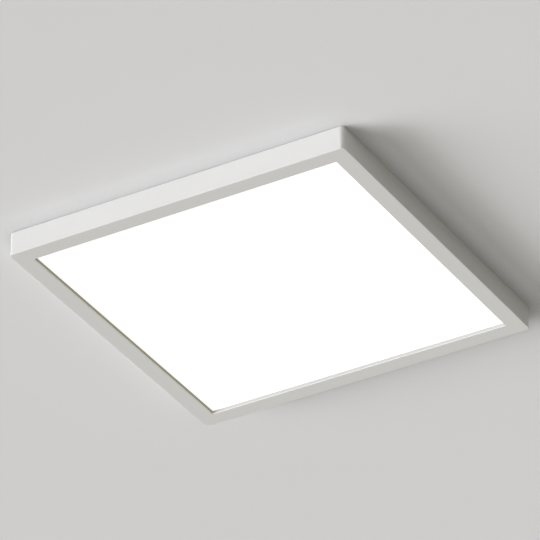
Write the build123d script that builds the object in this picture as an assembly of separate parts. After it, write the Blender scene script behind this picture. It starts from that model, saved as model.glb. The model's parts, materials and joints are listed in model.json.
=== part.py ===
from build123d import *

import os
from math import hypot, radians, sqrt, tan

# Square surface-mounted ceiling light: an edge-lit panel in a cast frame that clips to a ceiling bracket.
# Millimetres. The origin is the middle of the bracket's face on the ceiling, +Z points up into the ceiling,
# and X and Y run along the frame's sides. Everything hangs below Z = 0.

# Front frame
frame_side = 300.0
frame_height = 20.7
ceiling_gap = 0.3
corner_radius = 3.5
frame_wall = 1.8
rim_width = 14.5
rim_thickness = 2.0
lip_width = 2.0
window_recess = 3.2
window_corner = 0.8
edge_round = 0.4
lip_round = 0.3
top_break = 0.4
boss_diameter = 6.4
boss_rib = 1.6
boss_end = 25.0
bosses_per_side = 4

# Optical stack, from the window upwards
diffuser_thickness = 1.6
guide_thickness = 2.0
reflector_thickness = 0.3
pad_thickness = 0.8
stack_corner = 1.0
channel_clearance = 0.5

# Light bars on the left and right walls
tape_thickness = 0.2
board_thickness = 1.0
board_clearance = 0.1
board_end = 1.0
chip_width = 4.0
chip_height = 1.4
chip_depth = 0.7
chip_pitch = 6.0
chip_gap = 0.3
chip_margin = 3.0

# Back cover
cover_sheet = 0.6
cover_clearance = 0.6
cover_fold = 0.6
cover_edge = 6.0
relief_margin = 1.8
bead_length = 190.0
bead_width = 12.0
bead_height = 1.0
bead_slope = 40.0
bead_rows = (-112.0, -72.0)

# Screws
screw_diameter = 2.9
screw_length = 6.0
screw_fit = 0.05
screw_spare = 0.3
head_diameter = 5.6
head_height = 1.9
head_rim = 1.0
head_round = 1.2
head_clearance = 0.3
hole_clearance = 0.2

# Ceiling bracket
bracket_length = 200.0
bracket_width = 44.0
bracket_sheet = 1.2
bracket_fold = 1.0
bracket_edge = 4.0
flange_width = 30.0
flange_gap = 2.3
channel_end = 22.0
slot_spacing = 90.0
slot_length = 24.0
slot_width = 5.2
hole_spacing = 148.0
hole_diameter = 4.6
cable_hole = 16.0
tab_offset = 22.0
tab_width = 12.0
tab_depth = 10.6
tab_corner = 2.5
earth_diameter = 3.9
earth_length = 6.5
earth_head = 7.4
earth_head_height = 2.6
washer_diameter = 8.0
washer_thickness = 0.8

# Cable bushing
bushing_wall = 2.0
bushing_fit = 0.05
bushing_flange = 2.6
bushing_flange_thickness = 1.2
bushing_below_face = 0.2
bushing_round = 0.4

# Spring clips on the bracket and catch plates on the cover
clip_sheet = 0.5
clip_width = 14.0
clip_top = 2.5
clip_bend = 1.0
clip_root = 2.25
clip_crest_drop = 7.0
clip_crest_round = 0.8
clip_tail = 3.2
clip_tail_drop = 4.4
catch_stand = 4.0
catch_bite = 0.75
catch_play = 0.3
catch_sheet = 0.8
catch_width = 24.0
catch_window = 18.0
catch_foot = 12.0
catch_fold = 0.8
catch_top_drop = 2.4
catch_flare = 1.2
catch_flare_height = 1.6
rivet_diameter = 2.4
rivet_head = 4.4
rivet_head_height = 0.9
rivet_round = 0.5
rivet_tail_height = 0.45
rivet_fit = 0.05
clip_rivet_spread = 7.6
clip_rivet_drop = 5.2
catch_rivet_spread = 14.0
catch_rivet_inset = 7.2

# Driver
driver_x = 18.0
driver_y = 74.0
driver_length = 120.0
driver_width = 38.0
driver_headroom = 1.1
driver_wall = 1.4
driver_corner = 2.5
lap_height = 1.0
lap_fit = 0.1
split_break = 0.25
latch_spacing = 40.0
latch_width = 6.0
latch_height = 2.8
latch_hook = 0.5
latch_hook_height = 1.1
latch_play = 0.2
ear_reach = 8.0
ear_width = 9.0
ear_corner = 3.0
ear_thickness = 1.6
peg_diameter = 4.0
peg_height = 1.2
peg_inset = 6.0
circuit_thickness = 1.0
circuit_clearance = 0.4
core_length = 20.0
core_width = 18.0
core_leg = 4.0
core_x = 6.0
winding_overhang = 1.0
winding_gap = 0.3
winding_headroom = 0.4
capacitor_room = 0.3
capacitor_length = 15.0
capacitor_gap = 0.05
capacitor_round = 0.5
capacitor_x = (-30.0, 34.0)
choke_diameter = 8.0
choke_waist = 4.6
choke_headroom = 1.0
choke_rim = 1.0
choke_x = -12.0
package_break = 0.25
chip_packages = ((-45.0, 8.0, 8.0, 6.5, 2.4), (-44.0, -8.0, 5.0, 6.0, 1.6), (22.0, -8.5, 5.0, 4.0, 1.5))
fuse_diameter = 3.2
fuse_length = 8.0
fuse_round = 0.4
fuse_x = -48.0

# Terminal block
terminal_x = -84.0
terminal_y = 56.0
terminal_length = 30.0
terminal_width = 20.0
terminal_headroom = 2.5
terminal_wall = 1.6
terminal_corner = 1.0
base_thickness = 1.2
pole_pitch = 8.5
pole_room = 6.2
entry_side = 3.2
entry_flare = 0.7
entry_depth = 1.0
groove_width = 0.8
groove_depth = 0.6
contact_sheet = 0.8
contact_width = 5.0
contact_clearance = 0.4
contact_fold = 0.6
leaf_sheet = 0.35
leaf_width = 4.0
leaf_round = 1.0
leaf_end = 3.6
leaf_end_rise = 1.6
button_side = 4.4
button_play = 0.2
button_collar = 0.5
button_collar_height = 1.0
button_gap = 0.1
button_rise = 1.7
button_round = 0.4
button_slot = 0.8
button_slot_depth = 0.6

# Leads, grommets and wire clips
mains_lead = 2.2
mains_rows = (6.0, 12.0)
lamp_lead = 1.6
lamp_rows = (-6.0, 8.0)
lead_pair = 2.2
lead_bend_share = 0.45
lead_hole_inset = 10.0
lead_hole_fit = 0.1
lead_inside = 3.0
lead_rest = 0.3
lead_pad_drop = 1.0
drop_height = 6.0
lead_run_inset = 13.6
lead_run_end = 18.0
grommet_flange = 7.0
grommet_neck = 5.8
grommet_bore = 4.4
grommet_lip = 0.8
wire_clip_length = 8.0
wire_clip_width = 9.0
wire_clip_height = 4.4
wire_clip_hole_z = 2.2
wire_clip_round = 1.2
wire_clip_slit = 0.7
wire_clip_x = (-85.0, 0.0, 85.0)
lug_x = -74.0
lug_y = 106.0
lug_diameter = 8.0
lug_sheet = 0.8
lug_tongue = 7.0
lug_wall = 0.6
lug_barrel_length = 6.0

# Heights that follow from the sizes above
face_z = -(ceiling_gap + frame_height)
rim_top = face_z + rim_thickness
seat_z = face_z + window_recess
guide_z = seat_z + diffuser_thickness
guide_mid = guide_z + guide_thickness / 2
reflector_z = guide_z + guide_thickness
pad_z = reflector_z + reflector_thickness
cover_z = pad_z + pad_thickness
cover_top = cover_z + cover_sheet
flange_z = cover_top + flange_gap
driver_top = -driver_headroom
circuit_z = cover_top + driver_wall + peg_height
circuit_top = circuit_z + circuit_thickness
split_z = circuit_top + lead_rest + mains_lead / 2
lid_under = driver_top - driver_wall
lead_pad_z = guide_mid - lead_pad_drop
lead_run_z = cover_top + wire_clip_hole_z
lead_drop_z = cover_top + drop_height

# Plan positions that follow from the sizes above
half_side = frame_side / 2
wall_inner = half_side - frame_wall
window_half = half_side - rim_width
cover_half = wall_inner - cover_clearance
fold_inner = cover_half - cover_sheet - cover_fold
boss_y = fold_inner - head_clearance - head_diameter / 2
board_face = wall_inner - tape_thickness - board_thickness
guide_x = board_face - chip_depth - chip_gap
lead_hole_x = half_side - lead_hole_inset
lead_hole_y = fold_inner - head_clearance - grommet_flange / 2
guide_y = min(boss_y - boss_diameter / 2, lead_hole_y - grommet_flange / 2) - channel_clearance
board_half = lead_hole_y + lead_pair / 2 + lamp_lead / 2 + board_end
lead_run_y = lead_hole_y - lead_run_inset
lead_run_half = lead_hole_x - lead_run_end
board_height = 2 * (cover_z - board_clearance - guide_mid)
flange_face = bracket_length / 2
catch_face = flange_face + catch_stand
clip_crest = catch_stand + catch_bite
catch_rivet_x = catch_face + catch_rivet_inset
terminal_top = -terminal_headroom
base_top = cover_top + base_thickness
room_top = terminal_top - terminal_wall
room_width = terminal_width - 2 * terminal_wall
driver_left = driver_x - driver_length / 2
driver_right = driver_x + driver_length / 2
core_height = lid_under - circuit_top - winding_overhang - winding_headroom
choke_height = lid_under - circuit_top - choke_headroom
capacitor_z = (lid_under + cover_top + driver_wall) / 2
capacitor_radius = lid_under - capacitor_z - capacitor_room
capacitor_slot = 2 * sqrt((capacitor_radius + capacitor_gap) ** 2 - (capacitor_z - circuit_top) ** 2)
lug_barrel = mains_lead + 2 * lead_hole_fit + 2 * lug_wall


def slab(length, width, bottom, top, at=(0, 0), radius=0.0):
    """A flat block between two heights, with rounded upright corners where a radius is given."""
    outline = RectangleRounded(length, width, radius) if radius else Rectangle(length, width)
    return Pos(at[0], at[1], bottom) * extrude(outline, amount=top - bottom)


def post(diameter, bottom, top, at=(0, 0)):
    """An upright cylinder between two heights."""
    return Pos(at[0], at[1], bottom) * extrude(Circle(diameter / 2), amount=top - bottom)


def bent_strip(points, bends, sheet, width):
    """A sheet-metal strip folded along its mid-line in the XZ plane and centred on Y."""
    path = FilletPolyline(*[(x, 0, z) for x, z in points], radius=bends)
    start = Plane(origin=path @ 0, x_dir=(0, 1, 0), z_dir=path % 0)
    return sweep(start * Rectangle(width, sheet), path=path)


def pan_screw(diameter, length, head, head_depth):
    """A pan-head screw that points down, with the underside of its head at Z = 0."""
    top = post(head, 0, head_depth)
    top = chamfer(top.edges().sort_by(Axis.Z)[-1], head_depth - head_rim, head_round)
    return top + post(diameter, -length, 0)


def flush_rivet(grip):
    """A rivet along Z with its head on Z = 0 and its tail flush with the underside of the stack."""
    dome = post(rivet_head, 0, rivet_head_height)
    dome = chamfer(dome.edges().sort_by(Axis.Z)[-1], rivet_round, 2 * rivet_round)
    return dome + post(rivet_diameter, -grip, 0)


def rivet(grip):
    """A rivet whose tail is spread below the stack."""
    return flush_rivet(grip) + post(rivet_head, -grip - rivet_tail_height, -grip)


def lead(points, diameter, name):
    """An insulated wire along straight runs joined by arcs as large as the runs allow."""
    spots = [Vector(*point) for point in points]
    bends = []
    for before, here, after in zip(spots, spots[1:], spots[2:]):
        turn = radians((here - before).get_angle(after - here))
        shorter = min((here - before).length, (after - here).length)
        bends.append(lead_bend_share * shorter / tan(turn / 2))
    path = FilletPolyline(*spots, radius=bends)
    start = Plane(origin=path @ 0, z_dir=path % 0)
    wire = sweep(start * Circle(diameter / 2), path=path)
    print(name, "bend radii", [round(bend, 1) for bend in bends], "length", round(path.length, 1))
    return wire


def group(shapes):
    """Separate solids kept together under one name."""
    return Compound([solid for shape in shapes for solid in shape.solids()])


def boss_spots():
    """Centres of the bosses along the front and back walls."""
    first = half_side - boss_end
    step = 2 * first / (bosses_per_side - 1)
    return [(-first + step * i, side * boss_y) for side in (-1, 1) for i in range(bosses_per_side)]


def front_frame():
    """The cast frame: wall, flat rim, upturned lip round the window, and bosses for the cover's screws."""
    body = slab(frame_side, frame_side, face_z, -ceiling_gap, radius=corner_radius)
    body = fillet(body.edges().group_by(Axis.Z)[0], edge_round)
    body = chamfer(body.edges().group_by(Axis.Z)[-1], top_break)
    body -= slab(2 * wall_inner, 2 * wall_inner, rim_top, 0, radius=corner_radius - frame_wall)
    lip_half = window_half + lip_width
    body += slab(2 * lip_half, 2 * lip_half, face_z, seat_z, radius=window_corner + lip_width)
    body -= slab(2 * window_half, 2 * window_half, face_z, seat_z, radius=window_corner)
    rim_edges = body.edges().group_by(Axis.Z)[0]
    inner_edges = [edge for edge in rim_edges if max(abs(edge.center().X), abs(edge.center().Y)) < lip_half]
    body = fillet(inner_edges, lip_round)
    pilot_bottom = cover_top - screw_length - screw_spare
    for x, y in boss_spots():
        body += post(boss_diameter, rim_top, cover_z, (x, y))
        reach = wall_inner - abs(y)
        toward_wall = y + (reach / 2 if y > 0 else -reach / 2)
        body += slab(boss_rib, reach, rim_top, cover_z, (x, toward_wall))
    for x, y in boss_spots():
        body -= post(screw_diameter + 2 * screw_fit, pilot_bottom, cover_z, (x, y))
    return body


def stack_sheet(bottom, thickness):
    """One flat layer of the optical stack."""
    return slab(2 * guide_x, 2 * guide_y, bottom, bottom + thickness, radius=stack_corner)


def upright_bar(face, thickness, side):
    """A thin bar against the left or right wall, as high as a light board."""
    bottom = guide_mid - board_height / 2
    middle = side * (face + thickness / 2)
    return slab(thickness, 2 * board_half, bottom, bottom + board_height, (middle, 0))


def chip_row(side):
    """The light chips of one board, facing the guide's edge."""
    usable = guide_y - chip_margin - chip_width / 2
    per_half = int(usable // chip_pitch)
    middle = side * (board_face - chip_depth / 2)
    bottom = guide_mid - chip_height / 2
    spots = [(middle, chip_pitch * i) for i in range(-per_half, per_half + 1)]
    return group([slab(chip_depth, chip_width, bottom, bottom + chip_height, spot) for spot in spots])


def fitting_spots():
    """Centres of the screws that hold the driver and the terminal block to the cover."""
    ear_x = driver_length / 2 + ear_reach / 2
    driver = [(driver_x + side * ear_x, driver_y) for side in (-1, 1)]
    base_x = terminal_length / 2 + ear_reach / 2
    return driver + [(terminal_x + side * base_x, terminal_y) for side in (-1, 1)]


def catch_rivet_spots():
    """Centres of the rivets in the feet of the catch plates."""
    reach = catch_rivet_spread / 2
    return [(side * catch_rivet_x, y) for side in (-1, 1) for y in (-reach, reach)]


def back_cover():
    """The pressed steel back: a shallow tray with folded edges, open corners and two stiffening beads."""
    top = cover_z + cover_edge
    tray = slab(2 * cover_half, 2 * cover_half, cover_z, top)
    tray = fillet(tray.edges().group_by(Axis.Z)[0], cover_fold + cover_sheet)
    inside_half = cover_half - cover_sheet
    inside = slab(2 * inside_half, 2 * inside_half, cover_top, top)
    inside = fillet(inside.edges().group_by(Axis.Z)[0], cover_fold)
    tray -= inside
    notch = 2 * (cover_fold + cover_sheet + relief_margin)
    for x in (-cover_half, cover_half):
        for y in (-cover_half, cover_half):
            tray -= slab(notch, notch, cover_z, top, (x, y))
    bead = extrude(SlotOverall(bead_length, bead_width), amount=bead_height, taper=bead_slope)
    for y in bead_rows:
        tray += Pos(0, y, cover_top) * bead
        tray -= Pos(0, y, cover_z) * bead
    for spot in boss_spots() + fitting_spots():
        tray -= post(screw_diameter + 2 * hole_clearance, cover_z, cover_top, spot)
    for spot in catch_rivet_spots():
        tray -= post(rivet_diameter + 2 * rivet_fit, cover_z, cover_top, spot)
    for side in (-1, 1):
        tray -= post(grommet_neck + 2 * lead_hole_fit, cover_z, cover_top, (side * lead_hole_x, lead_hole_y))
    tray -= post(earth_diameter + 2 * hole_clearance, cover_z, cover_top, (lug_x, lug_y))
    return tray


def ceiling_bracket():
    """The steel strap on the ceiling: a shallow channel with slots, and end flanges that carry the clips."""
    mid = bracket_sheet / 2
    bend = bracket_fold + mid
    reach = flange_face - mid
    strap = bent_strip([(-reach, flange_z), (-reach, -mid), (reach, -mid), (reach, flange_z)],
                       bend, bracket_sheet, flange_width)
    side = bracket_width / 2 - mid
    channel = bent_strip([(-side, -bracket_edge), (-side, -mid), (side, -mid), (side, -bracket_edge)],
                         bend, bracket_sheet, bracket_length - 2 * channel_end)
    body = strap + Rot(0, 0, 90) * channel
    tab = Plane.XZ * RectangleRounded(tab_width, 2 * tab_depth, tab_corner)
    tab = Pos(tab_offset, -bracket_width / 2 + bracket_sheet, 0) * extrude(tab, amount=bracket_sheet)
    tab_middle = (tab_offset, -bracket_width / 2)
    tab_room = slab(2 * tab_width, bracket_width, -bracket_edge / 2, tab_depth, tab_middle)
    body += tab - tab_room
    body -= earth_place() * post(earth_diameter + 2 * screw_fit, -2 * bracket_sheet, bracket_sheet)
    slot = extrude(SlotOverall(slot_length, slot_width), amount=bracket_sheet)
    for x in (-slot_spacing / 2, slot_spacing / 2):
        body -= Pos(x, 0, -bracket_sheet) * slot
    for x in (-hole_spacing / 2, hole_spacing / 2):
        body -= post(hole_diameter, -bracket_sheet, 0, (x, 0))
    body -= post(cable_hole, -bracket_sheet, 0)
    for side in (-1, 1):
        for place in clip_rivet_places(side):
            body -= place * post(rivet_diameter + 2 * rivet_fit, -clip_sheet - bracket_sheet, 0)
    return body


def cable_bushing():
    """The rubber bushing in the strap's cable hole, flanged below the sheet and sunk below its face."""
    outer = cable_hole - 2 * bushing_fit
    flange_bottom = -bracket_sheet - bushing_flange_thickness
    flange = post(cable_hole + 2 * bushing_flange, flange_bottom, -bracket_sheet)
    flange = chamfer(flange.edges().sort_by(Axis.Z)[0], bushing_round)
    body = flange + post(outer, flange_bottom, -bushing_below_face)
    return body - post(outer - 2 * bushing_wall, flange_bottom, -bushing_below_face)


def clip_points():
    """The clip's mid-line as distance out from the flange's face and height."""
    mid = clip_sheet / 2
    bend_z = flange_z + mid
    crest = (clip_crest, -clip_crest_drop)
    return [(mid, -clip_top), (mid, bend_z), (clip_root, bend_z), crest, (clip_tail, -clip_tail_drop)]


def clip_rivet_places(side):
    """Places on the outside of one clip's base where its rivets sit, with Z pointing outwards."""
    turn = Rot(0, 0, 0 if side > 0 else 180)
    spread = clip_rivet_spread / 2
    face = flange_face + clip_sheet
    return [turn * Pos(face, y, -clip_rivet_drop) * Rot(0, 90, 0) for y in (-spread, spread)]


def spring_clip(side):
    """A bowed spring-steel clip riveted to one end flange, with its free leg bowed outwards."""
    points = clip_points()
    strip = bent_strip(points, [clip_bend, clip_bend, clip_crest_round], clip_sheet, clip_width)
    strip = Rot(0, 0, 0 if side > 0 else 180) * Pos(flange_face, 0, 0) * strip
    for place in clip_rivet_places(side):
        strip -= place * post(rivet_diameter + 2 * rivet_fit, -clip_sheet, 0)
    return strip


def bow_height(start, end):
    """Height at which the outside of one slope of the clip's bow meets the catch plate's inner face."""
    run = end[0] - start[0]
    rise = end[1] - start[1]
    span = hypot(run, rise)
    out = clip_sheet / 2 / span
    along = (catch_stand - start[0] - rise * out) / run
    return start[1] - run * out + rise * along


def catch_plate(side):
    """A flanged plate on the cover, with a window that the clip's bow springs into and a flared top edge."""
    mid = catch_sheet / 2
    face = catch_stand + mid
    foot_z = cover_top + mid
    top = -catch_top_drop
    points = [(catch_stand + catch_foot, foot_z), (face, foot_z),
              (face, top - catch_flare_height), (face + catch_flare, top)]
    fold = catch_fold + mid
    plate = bent_strip(points, fold, catch_sheet, catch_width)
    _, _, root, crest, tail = clip_points()
    low = bow_height(root, crest) - catch_play
    high = bow_height(crest, tail) + catch_play
    plate -= slab(2 * catch_sheet, catch_window, low, high, (face, 0), radius=catch_sheet / 2)
    plate = Rot(0, 0, 0 if side > 0 else 180) * Pos(flange_face, 0, 0) * plate
    for spot in catch_rivet_spots():
        plate -= post(rivet_diameter + 2 * rivet_fit, cover_top, cover_top + catch_sheet, spot)
    return plate


def earth_place():
    """Place on the outside of the bracket's earth tab, with Z pointing outwards."""
    middle = -(bracket_edge + tab_depth) / 2
    return Pos(tab_offset, -bracket_width / 2, middle) * Rot(90, 0, 0)


def earth_washer():
    """The washer between the earth screw's head and the tab."""
    ring = post(washer_diameter, 0, washer_thickness)
    return earth_place() * (ring - post(earth_diameter + 2 * screw_fit, 0, washer_thickness))


def earth_screw():
    """The earth screw through the bracket's tab."""
    screw = pan_screw(earth_diameter, earth_length, earth_head, earth_head_height)
    return earth_place() * Pos(0, 0, washer_thickness) * screw


def lead_holes(places, diameter):
    """Round passages along X through the driver's end walls, at the height of its split line."""
    reach = 4 * driver_wall
    cuts = [Pos(x, y, split_z) * Rot(0, 90, 0) * Cylinder(diameter / 2, reach) for x, y in places]
    return cuts


def driver_lead_cuts():
    """All lead passages in the driver's end walls."""
    mains = [(driver_left, driver_y + row) for row in mains_rows]
    lamp = [(driver_right, driver_y + row) for row in lamp_rows]
    wide = lead_holes(mains, mains_lead + 2 * lead_hole_fit)
    return wide + lead_holes(lamp, lamp_lead + 2 * lead_hole_fit)


def peg_spots():
    """Centres of the pegs under the circuit board."""
    reach_x = driver_length / 2 - driver_wall - peg_inset
    reach_y = driver_width / 2 - driver_wall - peg_inset
    return [(driver_x + x, driver_y + y) for x in (-reach_x, reach_x) for y in (-reach_y, reach_y)]


def ears(length, middle, bottom, thickness):
    """Two screw ears at the ends of a part that stands on the cover."""
    body = slab(length + 2 * ear_reach, ear_width, bottom, bottom + thickness, middle, ear_corner)
    for side in (-1, 1):
        spot = (middle[0] + side * (length + ear_reach) / 2, middle[1])
        body -= post(screw_diameter + 2 * hole_clearance, bottom, bottom + thickness, spot)
    return body


def latch_places():
    """Middle of each snap latch on the driver's long sides, at the split line, with Y pointing outwards."""
    reach = driver_width / 2 - driver_wall / 2
    places = []
    for step in (-1, 0, 1):
        x = driver_x + step * latch_spacing
        places.append(Pos(x, driver_y + reach, split_z))
        places.append(Pos(x, driver_y - reach, split_z) * Rot(0, 0, 180))
    return places


def latch_tab():
    """One snap latch of the tray: a tab inside the lid's wall with a sloped hook on its outer face."""
    tab = slab(latch_width, driver_wall / 2, 0, latch_height, (0, -driver_wall / 4))
    low = latch_height - latch_hook_height
    slope = Plane.YZ * Polygon((0, low), (latch_hook, low), (0, latch_height), align=None)
    return tab + Pos(-latch_width / 2, 0, 0) * extrude(slope, amount=latch_width)


def latch_room():
    """The pocket and the window that one latch takes in the lid's wall."""
    width = latch_width + 2 * latch_play
    top = latch_height + latch_play
    pocket = slab(width, driver_wall / 2 + lap_fit, 0, top, (0, lap_fit / 2 - driver_wall / 4))
    low = latch_height - latch_hook_height - latch_play / 2
    return pocket + slab(width, 2 * driver_wall, low, top)


def driver_tray():
    """The lower half of the driver's case, with ears, board pegs, latches and a tongue for the lid."""
    middle = (driver_x, driver_y)
    tongue_length = driver_length - driver_wall
    tongue_width = driver_width - driver_wall
    body = slab(driver_length, driver_width, cover_top, split_z, middle, driver_corner)
    body = chamfer(body.edges().group_by(Axis.Z)[-1], split_break)
    body += slab(tongue_length, tongue_width, split_z, split_z + lap_height,
                 middle, driver_corner - driver_wall / 2)
    inner = driver_corner - driver_wall
    body -= slab(driver_length - 2 * driver_wall, driver_width - 2 * driver_wall,
                 cover_top + driver_wall, split_z + lap_height, middle, inner)
    for spot in peg_spots():
        body += post(peg_diameter, cover_top + driver_wall, circuit_z, spot)
    for place in latch_places():
        body += place * latch_tab()
    foot = ears(driver_length, middle, cover_top, ear_thickness)
    body += foot - slab(driver_length, driver_width, cover_top, split_z, middle, driver_corner)
    for cut in driver_lead_cuts():
        body -= cut
    return body


def driver_lid():
    """The upper half of the driver's case, rebated over the tray's tongue, with windows for the latches."""
    middle = (driver_x, driver_y)
    body = slab(driver_length, driver_width, split_z, driver_top, middle, driver_corner)
    body = fillet(body.edges().group_by(Axis.Z)[-1], driver_wall / 2)
    body = chamfer(body.edges().group_by(Axis.Z)[0], split_break)
    body -= slab(driver_length - 2 * driver_wall, driver_width - 2 * driver_wall,
                 split_z, lid_under, middle, driver_corner - driver_wall)
    rebate = driver_wall - 2 * lap_fit
    body -= slab(driver_length - rebate, driver_width - rebate,
                 split_z, split_z + lap_height + lap_fit, middle, driver_corner - rebate / 2)
    for place in latch_places():
        body -= place * latch_room()
    for cut in driver_lead_cuts():
        body -= cut
    return body


def winding_outline():
    """Half width and half length of the winding in the core's windows."""
    window = (core_length - 3 * core_leg) / 2
    half_x = core_leg / 2 + window - winding_gap
    half_y = core_width / 2 - core_leg / 2 - winding_gap
    return half_x, half_y


def driver_board():
    """The circuit board, with openings that the winding and the lying capacitors dip into."""
    middle = (driver_x, driver_y)
    margin = driver_wall + circuit_clearance
    body = slab(driver_length - 2 * margin, driver_width - 2 * margin, circuit_z, circuit_top, middle)
    half_x, half_y = winding_outline()
    room = 2 * winding_gap
    body -= slab(2 * half_x + room, 2 * half_y + room, circuit_z, circuit_top, (driver_x + core_x, driver_y))
    for x in capacitor_x:
        spot = (driver_x + x, driver_y)
        body -= slab(capacitor_length + room, capacitor_slot, circuit_z, circuit_top, spot)
    return body


def transformer_core():
    """The ferrite core: a flat frame with a middle leg, standing on the board."""
    middle = (driver_x + core_x, driver_y)
    body = slab(core_length, core_width, circuit_top, circuit_top + core_height, middle)
    window = (core_length - 3 * core_leg) / 2
    for side in (-1, 1):
        spot = (middle[0] + side * (core_leg + window) / 2, middle[1])
        body -= slab(window, core_width - core_leg, circuit_top, circuit_top + core_height, spot)
    return body


def transformer_winding():
    """The winding round the core's middle leg."""
    middle = (driver_x + core_x, driver_y)
    half_x, half_y = winding_outline()
    top = circuit_top + core_height + winding_overhang
    body = slab(2 * half_x, 2 * half_y, circuit_top - winding_overhang, top, middle)
    body = fillet(body.edges().filter_by(Axis.Y), winding_overhang)
    return body - slab(core_leg, 2 * half_y, circuit_top, circuit_top + core_height, middle)


def driver_capacitors():
    """The can capacitors, lying in the board's slots."""
    can = Rot(0, 90, 0) * Cylinder(capacitor_radius, capacitor_length)
    can = chamfer(can.edges().filter_by(GeomType.CIRCLE), capacitor_round)
    return group([Pos(driver_x + x, driver_y, capacitor_z) * can for x in capacitor_x])


def driver_choke():
    """The drum choke: two rims and a wound waist."""
    spot = (driver_x + choke_x, driver_y)
    top = circuit_top + choke_height
    body = post(choke_diameter, circuit_top, circuit_top + choke_rim, spot)
    body += post(choke_waist, circuit_top + choke_rim, top - choke_rim, spot)
    return body + post(choke_diameter, top - choke_rim, top, spot)


def driver_chips():
    """The packaged chips on the circuit board."""
    packages = []
    for x, y, length, width, height in chip_packages:
        spot = (driver_x + x, driver_y + y)
        package = slab(length, width, circuit_top, circuit_top + height, spot)
        packages.append(chamfer(package.edges().group_by(Axis.Z)[-1], package_break))
    return group(packages)


def driver_fuse():
    """The fuse resistor, lying across the mains end of the circuit board."""
    body = Rot(90, 0, 0) * Cylinder(fuse_diameter / 2, fuse_length)
    body = chamfer(body.edges().filter_by(GeomType.CIRCLE), fuse_round)
    return Pos(driver_x + fuse_x, driver_y, circuit_top + fuse_diameter / 2) * body


def pole_spots():
    """Middle of each pole of the terminal block, from earth to live."""
    return [(terminal_x + pole_pitch * i, terminal_y) for i in (-1, 0, 1)]


def terminal_base():
    """The insulating base of the terminal block, screwed to the cover by its ears."""
    middle = (terminal_x, terminal_y)
    body = slab(terminal_length, terminal_width, cover_top, base_top, middle, terminal_corner)
    foot = ears(terminal_length, middle, cover_top, base_thickness)
    return body + (foot - slab(terminal_length, terminal_width, cover_top, base_top, middle))


def terminal_housing():
    """The push-in terminal housing: three rooms open below, entries, lead holes, button wells and grooves."""
    middle = (terminal_x, terminal_y)
    body = slab(terminal_length, terminal_width, base_top, terminal_top, middle, terminal_corner)
    body = fillet(body.edges().group_by(Axis.Z)[-1], terminal_corner / 2)
    well = button_side + 2 * button_play
    front = terminal_y - terminal_width / 2
    back = terminal_y + terminal_width / 2
    for spot in pole_spots():
        body -= slab(pole_room, room_width, base_top, room_top, spot)
        body -= slab(well, well, room_top, terminal_top, spot)
        entry = Rectangle(entry_side, entry_side)
        mouth = Rectangle(entry_side + 2 * entry_flare, entry_side + 2 * entry_flare)
        facing = Plane(origin=(spot[0], front, split_z), x_dir=(1, 0, 0), z_dir=(0, 1, 0))
        body -= extrude(facing * entry, amount=2 * terminal_wall)
        body -= loft([facing * mouth, facing.offset(entry_depth) * entry])
        hole = Pos(spot[0], back, split_z) * Rot(90, 0, 0)
        body -= hole * Cylinder(mains_lead / 2 + lead_hole_fit, 3 * terminal_wall)
    for x in (terminal_x - pole_pitch / 2, terminal_x + pole_pitch / 2):
        body -= slab(groove_width, terminal_width, terminal_top - groove_depth, terminal_top, (x, terminal_y))
        body -= slab(groove_width, 2 * groove_depth, base_top, terminal_top, (x, front))
    return body


def terminal_contacts():
    """The brass contacts: a strip on the base that turns up at the back to meet the lead."""
    mid = contact_sheet / 2
    front = -room_width / 2 + contact_clearance
    back = room_width / 2 - lead_inside - mid
    top = split_z + mains_lead / 2
    points = [(front, base_top + mid), (back, base_top + mid), (back, top)]
    strip = Rot(0, 0, 90) * bent_strip(points, contact_fold + mid, contact_sheet, contact_width)
    return group([Pos(x, y, 0) * strip for x, y in pole_spots()])


def terminal_springs():
    """The leaf springs: each stands on its contact and arches up under its button."""
    mid = leaf_sheet / 2
    seat = base_top + contact_sheet + mid
    crown = room_top - button_gap - button_collar_height - button_gap - mid
    back = room_width / 2 - lead_inside - contact_sheet - contact_fold - mid
    flat = back - leaf_end / 2
    points = [(back, seat), (flat, seat), (0, crown), (-leaf_end, seat + leaf_end_rise)]
    strip = Rot(0, 0, 90) * bent_strip(points, leaf_round, leaf_sheet, leaf_width)
    return group([Pos(x, y, 0) * strip for x, y in pole_spots()])


def release_button(spot):
    """A release button with a slot for a screwdriver and a collar that holds it under the housing's top."""
    collar_top = room_top - button_gap
    collar = button_side + 2 * (button_play + button_collar)
    top = terminal_top + button_rise
    body = slab(button_side, button_side, collar_top, top, spot)
    body = fillet(body.edges().group_by(Axis.Z)[-1], button_round)
    body -= slab(button_side, button_slot, top - button_slot_depth, top, spot)
    return body + slab(collar, collar, collar_top - button_collar_height, collar_top, spot)


def mains_route(spot, row):
    """From the terminal's contact, out of its back wall and into the driver's left end."""
    start = terminal_y + room_width / 2 - lead_inside
    y = driver_y + row
    return [(spot[0], start, split_z), (spot[0], y, split_z), (driver_left + lead_inside, y, split_z)]


def earth_route(spot):
    """From the terminal's contact to the barrel of the earth lug on the cover."""
    start = terminal_y + room_width / 2 - lead_inside
    clear = terminal_y + terminal_width / 2 + 10
    end_z = cover_top + lug_barrel / 2
    return [(spot[0], start, split_z), (spot[0], clear, split_z), (spot[0], lug_y, end_z),
            (lug_x - lug_tongue, lug_y, end_z)]


def board_drop(y, side):
    """Down through a grommet and across to a solder pad on the left or right light board."""
    x = side * lead_hole_x
    return [(x, y, lead_drop_z), (x, y, lead_pad_z), (side * board_face, y, lead_pad_z)]


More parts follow.
